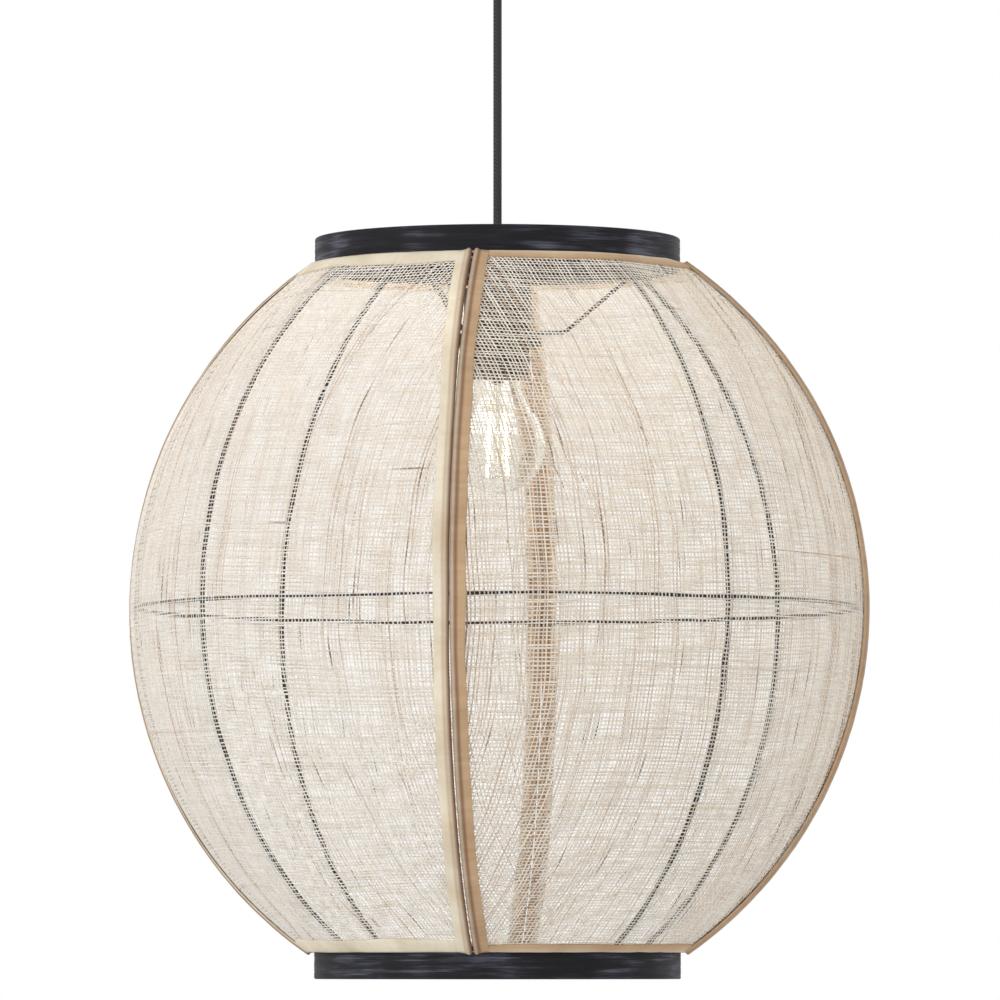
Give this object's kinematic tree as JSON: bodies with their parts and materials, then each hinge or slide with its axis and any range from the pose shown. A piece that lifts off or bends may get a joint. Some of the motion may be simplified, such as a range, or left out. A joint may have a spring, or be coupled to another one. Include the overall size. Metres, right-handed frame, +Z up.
{
  "type": "pendant lantern",
  "caption": "Rounded pendant lantern with open gauze panels on a wire frame, dark bent-wood hoops, clear bulb, black cord and a ceiling canopy.",
  "frame": {"origin": "on the ceiling plane, at the middle of the bracket's top face", "axes": "+Z up, away from the lantern and into the ceiling; -Y towards the front; the hanging axis is Z"},
  "size_m": [0.4632, 0.4632, 0.6885],
  "materials": {
    "hoop_wood": "stained near-black, fine worn grain",
    "sleeve_fabric": "plain woven tape, cream to tan",
    "rib_wire": "drawn wire",
    "gauze": "open natural weave",
    "thread": "sewing thread",
    "frame_metal": "black, satin",
    "cord_fitting": "moulded black",
    "holder_shell": "moulded black",
    "holder_insulator": "moulded off-white",
    "contact_metal": "bare",
    "clear_glass": "clear",
    "filament": "glowing, warm",
    "support_metal": "fine wire",
    "cap_metal": "satin",
    "bulb_insulator": "black glass",
    "cord_cover": "black, satin",
    "canopy_metal": "black, satin",
    "fixing_steel": "zinc plated",
    "terminal_plastic": "moulded off-white"
  },
  "bodies": {
    "bracket": {"ceiling_bracket": "fixing_steel", "terminal_block": "terminal_plastic", "terminal_screws": "fixing_steel", "side_screws": "fixing_steel"},
    "canopy": {"canopy_cup": "canopy_metal", "cord_grip": "cord_fitting", "grip_screw": "fixing_steel"},
    "cord": {"cord": "cord_cover"},
    "holder": {"cord_gland": "cord_fitting", "holder_cap": "holder_shell", "holder_skirt": "holder_shell", "holder_core": "holder_insulator", "screw_shell": "contact_metal", "centre_contact": "contact_metal"},
    "shade": {"top_hoop": "hoop_wood", "bottom_hoop": "hoop_wood", "top_ring": "frame_metal", "bottom_ring": "frame_metal", "carrier_ring": "frame_metal", "equator_ring": "frame_metal", "frame_wire_1": "frame_metal", "frame_wire_2": "frame_metal", "frame_wire_3": "frame_metal", "frame_wire_4": "frame_metal", "top_tabs": "frame_metal", "bottom_tabs": "frame_metal", "rib_core_1_left": "rib_wire", "rib_core_1_right": "rib_wire", "rib_core_2_left": "rib_wire", "rib_core_2_right": "rib_wire", "rib_core_3_left": "rib_wire", "rib_core_3_right": "rib_wire", "rib_core_4_left": "rib_wire", "rib_core_4_right": "rib_wire", "rib_sleeve_1_left": "sleeve_fabric", "rib_sleeve_1_right": "sleeve_fabric", "rib_sleeve_2_left": "sleeve_fabric", "rib_sleeve_2_right": "sleeve_fabric", "rib_sleeve_3_left": "sleeve_fabric", "rib_sleeve_3_right": "sleeve_fabric", "rib_sleeve_4_left": "sleeve_fabric", "rib_sleeve_4_right": "sleeve_fabric", "panel_1": "gauze", "panel_2": "gauze", "panel_3": "gauze", "panel_4": "gauze", "seam_ties": "thread", "spider_plate": "frame_metal", "spider_arm_1": "frame_metal", "spider_arm_2": "frame_metal", "spider_arm_3": "frame_metal"},
    "bulb": {"bulb_glass": "clear_glass", "bulb_stem": "clear_glass", "bulb_filaments": "filament", "bulb_support_wires": "support_metal", "bulb_cap": "cap_metal", "bulb_insulator": "bulb_insulator", "bulb_contact": "contact_metal"},
    "clamp_ring": {"clamp_ring": "holder_shell"}
  },
  "joints": [
    {"name": "canopy_drop", "type": "slide", "parent": "bracket", "child": "canopy", "axis": [0, 0, 1], "range_m": [-0.05, 0]},
    {"name": "cord_swing", "type": "hinge", "parent": "canopy", "child": "cord", "pos_m": [0, 0, -0.053], "axis": [0, 1, 0], "range_deg": [-12, 12]},
    {"name": "lamp_tilt", "type": "hinge", "parent": "cord", "child": "holder", "pos_m": [0, 0, -0.225], "axis": [1, 0, 0], "range_deg": [-8, 8]},
    {"name": "shade_turn", "type": "hinge", "parent": "holder", "child": "shade", "pos_m": [0, 0, -0.286], "axis": [0, 0, 1], "continuous": true},
    {"name": "bulb_unscrew", "type": "slide", "parent": "holder", "child": "bulb", "axis": [0, 0, 1], "range_m": [-0.04, 0]},
    {"name": "ring_unscrew", "type": "slide", "parent": "holder", "child": "clamp_ring", "axis": [0, 0, 1], "range_m": [-0.015, 0]}
  ]
}
